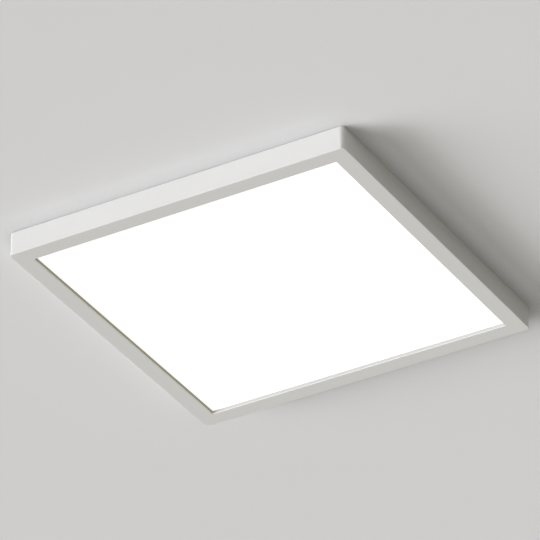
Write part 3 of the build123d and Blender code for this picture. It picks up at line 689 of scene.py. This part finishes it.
def cross_cutter(arm, width, top, depth, narrowing):
    """A tapered cross, as the tip of a cross-head driver."""
    outline = [(width, arm), (width, width), (arm, width)]
    quarter = [Matrix.Rotation(-pi / 2 * i, 2) for i in range(4)]
    points = [turn @ Vector(point) for turn in quarter for point in outline]
    mesh = bmesh.new()
    lower = [mesh.verts.new((x * narrowing, y * narrowing, top - depth)) for x, y in points]
    upper = [mesh.verts.new((x, y, top)) for x, y in points]
    for i in range(len(points)):
        j = (i + 1) % len(points)
        mesh.faces.new((lower[j], lower[i], upper[i], upper[j]))
    mesh.faces.new(lower)
    mesh.faces.new(upper[::-1])
    bmesh.ops.recalc_face_normals(mesh, faces=mesh.faces)
    return as_mesh(mesh, "cross_cutter")


def screw_mesh(sizes, head, head_height, shank, length):
    """A pan-head screw that points down from its head's underside, with a thread and a cross recess."""
    # Shares of the radius or the height that they are multiplied by
    tip, seat, seat_rise, rim, crown = 0.8, 0.96, 0.04, 0.42, 0.1
    arm_width, recess_depth, clearance, narrowing = 0.3, 0.75, 0.1, 0.5
    # Half a thread's width, as a share of the pitch
    flank = 0.25
    pitch = sizes.thread_pitch
    core = shank - sizes.thread_depth
    steps = max(2, round(length / pitch * RINGS_PER_TURN))

    def thread(height):
        def reach(angle):
            phase = (height / pitch - angle / tau) % 1.0
            ridge = max(0.0, 1.0 - abs(phase - 0.5) / flank)
            runout = min(1.0, (height + length) / pitch, -height / pitch)
            return core + sizes.thread_depth * ridge * max(0.0, runout)
        return reach

    heights = [-length + length * i / steps for i in range(1, steps)]
    rings = [(-length, core * tip)]
    rings += [(height, thread(height)) for height in heights]
    rings += [(0.0, core), (0.0, head * seat), (head * seat_rise, head)]
    rings += dome((head_height * rim, head), (head_height, head * crown), SCREW_DOME)
    solid = as_mesh(revolved(rings, SCREW_SIDES), "screw_body")
    arm = head * sizes.recess_share
    top = head_height + head * clearance
    cutter = cross_cutter(arm, arm * arm_width, top, head_height * recess_depth, narrowing)
    return cut(solid, cutter, "screw")


def rivet_mesh(head, head_height, shank, grip, tail):
    """A blind rivet along Z: domed head with its broken pin, straight shank and spread tail."""
    # Shares of the radius or the height that they are multiplied by
    tail_end, tail_round, tail_spread = 0.7, 0.7, 0.94
    seat, rim, collar, pin_share = 0.97, 0.12, 1.2, 0.62
    # Rings of the hollow round the broken pin and of its stub: shares of the head's height and the pin
    stub = [(0.96, 1.0), (0.5, 0.96), (0.5, 0.8), (0.62, 0.6), (0.66, 0.2)]
    pin = shank * pin_share
    rings = []
    if tail:
        spread = head * tail_spread
        rings += [(-grip - tail, shank * tail_end), (-grip - tail * tail_round, spread), (-grip, spread)]
    rings += [(-grip, shank), (0.0, shank), (0.0, head * seat)]
    rings += dome((head_height * rim, head), (head_height, pin * collar), RIVET_DOME)
    rings += [(head_height * height, pin * radius) for height, radius in stub]
    return as_mesh(revolved(rings, RIVET_SIDES), "rivet")


def copies(template, places):
    """One mesh with the template at each place."""
    row = bmesh.new()
    for place in places:
        start = len(row.verts)
        row.from_mesh(template)
        row.verts.ensure_lookup_table()
        bmesh.ops.transform(row, matrix=place, verts=row.verts[start:])
    mesh = bpy.data.meshes.new("copies")
    row.to_mesh(mesh)
    row.free()
    return mesh


def leaf_mesh(node, centre, size, step):
    """One leaf of a CAD node, with rows of points along Y so that it can bend."""
    leaf = joined(node)
    others = [vertex for vertex in leaf.verts if abs(vertex.co.x - centre.x) > size.x]
    bmesh.ops.delete(leaf, geom=others, context="VERTS")
    for row in range(1, ceil(size.y / step)):
        everything = leaf.verts[:] + leaf.edges[:] + leaf.faces[:]
        plane = (centre.x, centre.y - size.y / 2 + row * step, centre.z)
        bmesh.ops.bisect_plane(leaf, geom=everything, dist=ON_PLANE, plane_co=plane, plane_no=(0, 1, 0))
    return as_mesh(leaf, "leaf")


def stand_in(name, mesh, node, moved=None):
    """Put a new piece in the place of a CAD node, with its slot. It rides on the node's body, or, when
    another body is given as moving its top, it is left on no body."""
    mesh.name = name
    piece = bpy.data.objects.new(name, mesh)
    bpy.context.scene.collection.objects.link(piece)
    body = frame["nodes"][node]["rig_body"]
    if moved:
        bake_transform(piece)
    else:
        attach(piece, body)
    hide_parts(node)
    mesh.materials.clear()
    mesh.materials.append(finish_for(SLOTS[node]))


def upright(centre, rise, turn=0.0):
    """A place above a point, with its Z up and turned about it."""
    return Matrix.Translation(centre + Vector((0, 0, rise))) @ Matrix.Rotation(turn, 4, "Z")


# Sizes and colours that a user would change
COLOUR = {"subtype": "COLOR", "min": 0.0, "max": 1.0}


class FaceLooks(bpy.types.PropertyGroup):
    """The painted frame and the lit sheet."""

    paint: FloatVectorProperty(
        name="Paint", description="Colour of the frame", default=(0.8, 0.8, 0.8), **COLOUR)
    # Painted shade on the window's walls: a grey on three of them, a darker olive on the left one, which
    # faces away from the low lamp.
    lip: FloatVectorProperty(
        name="Lip", description="Colour of three of the window's walls", default=(0.54, 0.54, 0.53),
        **COLOUR)
    dull_lip: FloatVectorProperty(
        name="Dull lip", description="Colour of the window's darker left wall",
        default=(0.35, 0.335, 0.225), **COLOUR)
    paint_grain: FloatProperty(
        name="Paint grain", description="Size of the paint's orange peel", unit="LENGTH",
        default=0.0008, min=0.0001)
    rim: FloatProperty(
        name="Rim", description="Width of the rim round the window", unit="LENGTH", default=0.0145,
        min=0.001)
    opal: FloatVectorProperty(
        name="Opal", description="Colour of the sheet when it is dark", default=(0.6, 0.6, 0.595), **COLOUR)
    glow: FloatVectorProperty(
        name="Glow", description="Colour of the sheet's light", default=(1.0, 1.0, 1.0), **COLOUR)
    glow_strength: FloatProperty(
        name="Glow strength", description="Brightness of the sheet, 1 is white", default=0.8, min=0.0)


class MetalLooks(bpy.types.PropertyGroup):
    """The bare metals."""

    zinc: FloatVectorProperty(
        name="Zinc", description="Colour of the galvanised sheet", default=(0.6, 0.61, 0.62), **COLOUR)
    spangle: FloatProperty(
        name="Spangle", description="Size of the zinc's crystals", unit="LENGTH", default=0.004, min=0.0005)
    spring: FloatVectorProperty(
        name="Spring steel", description="Colour of the clips and leaf springs",
        default=(0.24, 0.25, 0.27), **COLOUR)
    plating: FloatVectorProperty(
        name="Plating", description="Colour of screws and rivets", default=(0.7, 0.7, 0.68), **COLOUR)
    brass: FloatVectorProperty(
        name="Brass", description="Colour of the contacts", default=(0.72, 0.52, 0.2), **COLOUR)


class PlasticLooks(bpy.types.PropertyGroup):
    """The moulded parts on the back."""

    case: FloatVectorProperty(
        name="Driver case", description="Colour of the driver's case", default=(0.74, 0.74, 0.71), **COLOUR)
    terminal: FloatVectorProperty(
        name="Terminal", description="Colour of the terminal block", default=(0.55, 0.55, 0.53), **COLOUR)
    button: FloatVectorProperty(
        name="Buttons", description="Colour of the release buttons", default=(0.75, 0.18, 0.02), **COLOUR)
    clip: FloatVectorProperty(
        name="Wire clips", description="Colour of the wire clips", default=(0.78, 0.78, 0.76), **COLOUR)
    package: FloatVectorProperty(
        name="Packages", description="Colour of the driver's chips", default=(0.012, 0.012, 0.013),
        **COLOUR)


class FastenerSizes(bpy.types.PropertyGroup):
    """Screws, rivets and leaf springs."""

    head_height: FloatProperty(
        name="Screw head", description="Height of a small screw's head", unit="LENGTH", default=0.0019,
        min=0.0005)
    earth_head_height: FloatProperty(
        name="Earth screw head", description="Height of an earth screw's head", unit="LENGTH",
        default=0.0026, min=0.0005)
    shank: FloatProperty(
        name="Screw shank", description="Radius of a small screw's thread", unit="LENGTH",
        default=0.00145, min=0.0005)
    earth_shank: FloatProperty(
        name="Earth screw shank", description="Radius of an earth screw's thread", unit="LENGTH",
        default=0.00195, min=0.0005)
    thread_pitch: FloatProperty(
        name="Pitch", description="Rise of the thread in one turn", unit="LENGTH", default=0.0011,
        min=0.0002)
    thread_depth: FloatProperty(
        name="Thread depth", description="Depth of the thread", unit="LENGTH", default=0.00035, min=0.0)
    recess_share: FloatProperty(
        name="Recess", description="Reach of the cross, as a share of the head", subtype="FACTOR",
        default=0.56, min=0.1, max=0.9)
    rivet_head_height: FloatProperty(
        name="Rivet head", description="Height of a rivet's head", unit="LENGTH", default=0.0009,
        min=0.0002)
    rivet_shank: FloatProperty(
        name="Rivet shank", description="Radius of a rivet's shank", unit="LENGTH", default=0.0012,
        min=0.0003)
    rivet_tail: FloatProperty(
        name="Rivet tail", description="Height of a spread rivet tail", unit="LENGTH", default=0.00045,
        min=0.0001)
    leaf_step: FloatProperty(
        name="Leaf step", description="Space between a leaf spring's rows of points", unit="LENGTH",
        default=0.0003, min=0.0001)


class StageLooks(bpy.types.PropertyGroup):
    """The ceiling, the lamps and the camera."""

    ceiling_side: FloatProperty(
        name="Ceiling", description="Side of the ceiling", unit="LENGTH", default=16.0)
    ceiling: FloatVectorProperty(
        name="Ceiling colour", description="Colour of the ceiling", default=(0.65, 0.65, 0.66), **COLOUR)
    corner_shade: FloatProperty(
        name="Corner shade", description="How far the ceiling darkens where closed in",
        subtype="FACTOR", default=0.42, min=0.0, max=1.0)
    corner_reach: FloatProperty(
        name="Corner reach", description="Reach of that shade", unit="LENGTH", default=0.018, min=0.001)
    opening_inset: FloatProperty(
        name="Opening inset", unit="LENGTH", default=0.0006, min=0.0,
        description="How far inside the outline light from above gets through")
    backdrop: FloatVectorProperty(
        name="Backdrop", description="Colour behind everything", default=(0.62, 0.62, 0.61), **COLOUR)
    room: FloatVectorProperty(
        name="Room light", description="Light from all round, below the ceiling",
        default=(0.127, 0.114, 0.07), **COLOUR)
    sky: FloatVectorProperty(
        name="Bench light", description="Light from all round on the light's back",
        default=(0.55, 0.55, 0.55), **COLOUR)
    key: FloatProperty(
        name="Key", description="Brightness of the low lamp", default=0.82)
    key_spread: FloatProperty(
        name="Key spread", description="Width of the low lamp", subtype="ANGLE", default=radians(34))
    key_from: FloatVectorProperty(
        name="Key from", description="Direction of the low lamp", subtype="DIRECTION",
        default=(-0.7, -0.62, -0.34))
    graze: FloatProperty(
        name="Graze", description="Brightness of a lamp that lights the ceiling alone", default=1.12)
    graze_spread: FloatProperty(
        name="Graze spread", description="Width of the ceiling's own lamp", subtype="ANGLE",
        default=radians(31))
    graze_from: FloatVectorProperty(
        name="Graze from", description="Direction of the ceiling's own lamp", subtype="DIRECTION",
        default=(-0.9, -0.38, -0.23))
    fill: FloatProperty(name="Fill", description="Brightness of the lamp below", default=0.316)
    fill_spread: FloatProperty(
        name="Fill spread", description="Width of the lamp below", subtype="ANGLE", default=radians(70))
    fill_from: FloatVectorProperty(
        name="Fill from", description="Direction of the lamp below", subtype="DIRECTION",
        default=(0.01, -0.3, -0.95))
    bench: FloatProperty(name="Bench", description="Brightness of the lamp over the back", default=0.7)
    bench_spread: FloatProperty(
        name="Bench spread", description="Width of the lamp over the back", subtype="ANGLE",
        default=radians(60))
    bench_from: FloatVectorProperty(
        name="Bench from", description="Direction of the lamp over the back", subtype="DIRECTION",
        default=(-0.33, -0.53, 0.78))
    tint: FloatVectorProperty(
        name="Lamp tint", description="Colour of the lamps", default=(0.974, 0.98, 1.0), **COLOUR)
    azimuth: FloatProperty(
        name="Azimuth", description="Camera's angle round the light", subtype="ANGLE",
        default=radians(30.375))
    elevation: FloatProperty(
        name="Elevation", description="Camera's angle above the horizon", subtype="ANGLE",
        default=radians(-32.577))
    roll: FloatProperty(
        name="Roll", description="Camera's turn about its own view", subtype="ANGLE", default=radians(0.09))
    distance: FloatProperty(
        name="Distance", description="From the camera to the light", unit="LENGTH", default=4.2102)
    lens: FloatProperty(name="Lens", description="Focal length", unit="CAMERA", default=355.6)
    aim: FloatVectorProperty(
        name="Aim", description="Point at the middle of the view", subtype="TRANSLATION",
        default=(-0.0015, -0.001, 0.0003))


class CeilingLight(bpy.types.PropertyGroup):
    """All settings of the light."""

    face: PointerProperty(type=FaceLooks, name="Face", description="Frame and lit sheet")
    metal: PointerProperty(type=MetalLooks, name="Metal", description="Bare metals")
    plastic: PointerProperty(type=PlasticLooks, name="Plastic", description="Moulded parts")
    fastener: PointerProperty(
        type=FastenerSizes, name="Fasteners", description="Screws, rivets and springs")
    stage: PointerProperty(type=StageLooks, name="Stage", description="Ceiling, lamps and camera")


# Pieces
class DressFrame(bpy.types.Operator):
    """Paint the front frame"""

    bl_idname = "ceiling_light.front_frame"
    bl_label = "Front frame"

    def execute(self, context):
        dress("front_frame")
        return {"FINISHED"}


class DressOptics(bpy.types.Operator):
    """Finish the sheets of the optical stack"""

    bl_idname = "ceiling_light.optics"
    bl_label = "Optical stack"

    def execute(self, context):
        dress("diffuser_panel", "light_guide", "reflector_sheet", "backing_pad")
        return {"FINISHED"}


class DressBars(bpy.types.Operator):
    """Finish the two light bars"""

    bl_idname = "ceiling_light.light_bars"
    bl_label = "Light bars"

    def execute(self, context):
        for side in ("left", "right"):
            dress("thermal_tape_" + side, "led_board_" + side, "led_chips_" + side)
        return {"FINISHED"}


class DressSheet(bpy.types.Operator):
    """Finish the back cover, the ceiling bracket and the catch plates"""

    bl_idname = "ceiling_light.sheet_metal"
    bl_label = "Sheet metal"

    def execute(self, context):
        dress("back_cover", "ceiling_bracket", "catch_plate_left", "catch_plate_right")
        return {"FINISHED"}


class DressSprings(bpy.types.Operator):
    """Finish the spring clips"""

    bl_idname = "ceiling_light.spring_clips"
    bl_label = "Spring clips"

    def execute(self, context):
        dress("spring_clip_left", "spring_clip_right")
        return {"FINISHED"}


class MakeScrews(bpy.types.Operator):
    """Make threaded screws with cross recesses in the place of the plain ones"""

    bl_idname = "ceiling_light.screws"
    bl_label = "Screws"

    def execute(self, context):
        sizes = settings().fastener
        small = (sizes.head_height, sizes.shank)
        large = (sizes.earth_head_height, sizes.earth_shank)
        rows = (("cover_screws", small), ("fitting_screws", small), ("lug_screw", large))
        for node, (head_height, shank) in rows:
            solids = islands(node)
            size = solids[0][1]
            template = screw_mesh(sizes, size.x / 2, head_height, shank, size.z - head_height)
            rise = size.z / 2 - head_height
            places = [upright(centre, rise, SCREW_TURN * i) for i, (centre, _) in enumerate(solids)]
            stand_in(node + "_crossed", copies(template, places), node)
        head_height, shank = large
        centre, size = islands("earth_screw")[0]
        template = screw_mesh(sizes, size.x / 2, head_height, shank, size.y - head_height)
        seat = Matrix.Translation(centre - Vector((0, size.y / 2 - head_height, 0)))
        place = seat @ Matrix.Rotation(pi / 2, 4, "X")
        stand_in("earth_screw_crossed", copies(template, [place]), "earth_screw")
        dress("earth_washer")
        return {"FINISHED"}


class MakeRivets(bpy.types.Operator):
    """Make domed blind rivets in the place of the plain ones"""

    bl_idname = "ceiling_light.rivets"
    bl_label = "Rivets"

    def execute(self, context):
        sizes = settings().fastener
        head_height, shank, tail = sizes.rivet_head_height, sizes.rivet_shank, sizes.rivet_tail
        solids = islands("catch_rivets")
        size = solids[0][1]
        template = rivet_mesh(size.x / 2, head_height, shank, size.z - head_height, 0.0)
        places = [upright(centre, size.z / 2 - head_height) for centre, _ in solids]
        stand_in("catch_rivets_domed", copies(template, places), "catch_rivets")
        solids = islands("clip_rivets")
        size = solids[0][1]
        template = rivet_mesh(size.z / 2, head_height, shank, size.x - head_height - tail, tail)
        places = []
        for centre, _ in solids:
            outward = 1 if centre.x > 0 else -1
            seat = Matrix.Translation(centre + Vector((outward * (size.x / 2 - head_height), 0, 0)))
            places.append(seat @ Matrix.Rotation(outward * pi / 2, 4, "Y"))
        stand_in("clip_rivets_domed", copies(template, places), "clip_rivets")
        return {"FINISHED"}


class DressCase(bpy.types.Operator):
    """Finish the two halves of the driver's case"""

    bl_idname = "ceiling_light.driver_case"
    bl_label = "Driver case"

    def execute(self, context):
        dress("driver_tray", "driver_lid")
        return {"FINISHED"}


class DressCircuit(bpy.types.Operator):
    """Finish the circuit inside the driver"""

    bl_idname = "ceiling_light.driver_circuit"
    bl_label = "Driver circuit"

    def execute(self, context):
        dress("driver_board", "transformer_core", "transformer_winding", "driver_capacitors")
        dress("driver_choke", "driver_chips", "driver_fuse")
        return {"FINISHED"}


class DressTerminal(bpy.types.Operator):
    """Finish the terminal block"""

    bl_idname = "ceiling_light.terminal_block"
    bl_label = "Terminal block"

    def execute(self, context):
        dress("terminal_base", "terminal_housing", "terminal_contacts")
        return {"FINISHED"}


class MakeLeaves(bpy.types.Operator):
    """Make the leaf springs under the release buttons"""

    bl_idname = "ceiling_light.leaf_springs"
    bl_label = "Leaf springs"

    def execute(self, context):
        node = "terminal_springs"
        step = settings().fastener.leaf_step
        for centre, size in islands(node):
            button = min(BUTTONS, key=lambda name: abs(middle(name).x - centre.x))
            leaf = leaf_mesh(node, centre, size, step)
            moved = frame["nodes"][button]["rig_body"]
            stand_in(button.replace("button", "leaf_spring"), leaf, node, moved)
        return {"FINISHED"}


class DressButtons(bpy.types.Operator):
    """Finish the release buttons"""

    bl_idname = "ceiling_light.release_buttons"
    bl_label = "Release buttons"

    def execute(self, context):
        dress(*BUTTONS)
        return {"FINISHED"}


class DressLeads(bpy.types.Operator):
    """Finish the leads, their clips, grommets and lug, and the cable bushing"""

    bl_idname = "ceiling_light.leads"
    bl_label = "Leads"

    def execute(self, context):
        dress("live_lead", "neutral_lead", "earth_lead", "positive_lead", "link_lead", "negative_lead")
        dress("wire_clips", "lead_grommets", "earth_lug", "cable_bushing")
        return {"FINISHED"}


# Stage
def ceiling_paint(stage):
    """Plain paint with painted shade where it is closed in. From above, the ceiling is clear, and inside
    the frame's outline it lets light through onto the back."""
    shade_samples = 8
    paint = Finish("ceiling")
    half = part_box("front_frame")[1].x
    beyond = paint.math("MAXIMUM", abs(paint.axis("X")), abs(paint.axis("Y"))) - half
    behind = paint.node("ShaderNodeNewGeometry", output="Backfacing")
    passing = (beyond < -stage.opening_inset) * (1 - paint.path("Camera"))
    reach = {"Distance": stage.corner_reach}
    free = paint.node("ShaderNodeAmbientOcclusion", {"samples": shade_samples}, reach, "AO")
    # Painted shade: the ceiling's colour darkens where ambient occlusion finds the frame close by.
    colour = paint.blend(stage.corner_shade * (1 - free), stage.ceiling, BLACK)
    cover = paint.node("ShaderNodeBsdfDiffuse", inputs={"Color": colour})
    opening = paint.node("ShaderNodeBsdfTransparent")
    clear = paint.math("MAXIMUM", behind, passing)
    mixed = paint.node("ShaderNodeMixShader", inputs={0: clear, 1: cover, 2: opening})
    paint.end("Material Output", {"Surface": mixed})
    return paint.material


def make_ceiling(stage):
    """A wide flat ceiling that faces down at Z = 0."""
    half = stage.ceiling_side / 2
    corners = [(-half, -half, 0), (-half, half, 0), (half, half, 0), (half, -half, 0)]
    mesh = bpy.data.meshes.new("ceiling")
    mesh.from_pydata(corners, [], [(0, 1, 2, 3)])
    mesh.materials.append(ceiling_paint(stage))
    ceiling = bpy.data.objects.new("ceiling", mesh)
    bpy.context.scene.collection.objects.link(ceiling)
    return ceiling


def make_lamp(stage, part):
    """A soft lamp far away, which spreads its light over an angle."""
    name = part + "_lamp"
    lamp = bpy.data.lights.new(name, "SUN")
    lamp.energy = pi * getattr(stage, part)
    lamp.angle = getattr(stage, part + "_spread")
    lamp.color = stage.tint
    holder = bpy.data.objects.new(name, lamp)
    shining = -Vector(getattr(stage, part + "_from"))
    holder.rotation_euler = shining.to_track_quat("-Z", "Y").to_euler()
    bpy.context.scene.collection.objects.link(holder)
    return holder


def make_surroundings(stage):
    """A pale backdrop with a dim room below and a brighter one above the ceiling."""
    world = bpy.data.worlds.new("surroundings")
    bpy.context.scene.world = world
    world.use_nodes = True
    around = Nodes(world.node_tree, "Generated")
    above = around.axis("Z") > 0.0
    light = around.blend(above, stage.room, stage.sky)
    seen = around.path("Camera", "Glossy", "Transmission")
    around.end("Background", {"Color": around.blend(seen, light, stage.backdrop)})


def make_camera(stage):
    """The camera below the light, looking up at it."""
    lens = bpy.data.cameras.new("camera")
    lens.lens = stage.lens
    camera = bpy.data.objects.new("camera", lens)
    level = cos(stage.elevation)
    back = Vector((sin(stage.azimuth) * level, -cos(stage.azimuth) * level, sin(stage.elevation)))
    camera.location = back * stage.distance
    view = Vector(stage.aim) - camera.location
    turn = view.to_track_quat("-Z", "Y").to_matrix() @ Matrix.Rotation(stage.roll, 3, "Z")
    camera.rotation_euler = turn.to_euler()
    bpy.context.scene.collection.objects.link(camera)
    bpy.context.scene.camera = camera


class MakeStage(bpy.types.Operator):
    """Make the ceiling, the lamps, the surroundings and the camera"""

    bl_idname = "ceiling_light.stage"
    bl_label = "Stage"

    def execute(self, context):
        stage = settings().stage
        context.scene.view_settings.view_transform = "Standard"
        alone = bpy.data.collections.new("ceiling_alone")
        alone.objects.link(make_ceiling(stage))
        make_lamp(stage, "graze").light_linking.receiver_collection = alone
        for part in ("key", "fill", "bench"):
            make_lamp(stage, part)
        make_surroundings(stage)
        make_camera(stage)
        return {"FINISHED"}


OPERATORS = (
    DressFrame, DressOptics, DressBars, DressSheet, DressSprings, MakeScrews, MakeRivets, DressCase,
    DressCircuit, DressTerminal, MakeLeaves, DressButtons, DressLeads, MakeStage,
)
GROUPS = (FaceLooks, MetalLooks, PlasticLooks, FastenerSizes, StageLooks, CeilingLight)


class CeilingLightPanel(bpy.types.Panel):
    """Lists the pieces of the ceiling light and their settings"""

    bl_idname = "VIEW3D_PT_ceiling_light"
    bl_label = "Ceiling light"
    bl_space_type = "VIEW_3D"
    bl_region_type = "UI"
    bl_category = "Ceiling light"

    def draw(self, context):
        for operator in OPERATORS:
            self.layout.operator(operator.bl_idname)
        for part in CeilingLight.__annotations__:
            box = self.layout.box()
            group = getattr(settings(), part)
            for name in group.__annotations__:
                box.prop(group, name)


CLASSES = (*GROUPS, *OPERATORS, CeilingLightPanel)


def register():
    for made in CLASSES:
        bpy.utils.register_class(made)
    bpy.types.Scene.ceiling_light = PointerProperty(type=CeilingLight)


def unregister():
    del bpy.types.Scene.ceiling_light
    for made in reversed(CLASSES):
        bpy.utils.unregister_class(made)


def main():
    """Make every piece."""
    register()
    for operator in OPERATORS:
        group, name = operator.bl_idname.split(".")
        getattr(getattr(bpy.ops, group), name)()


if __name__ == "__main__":
    main()
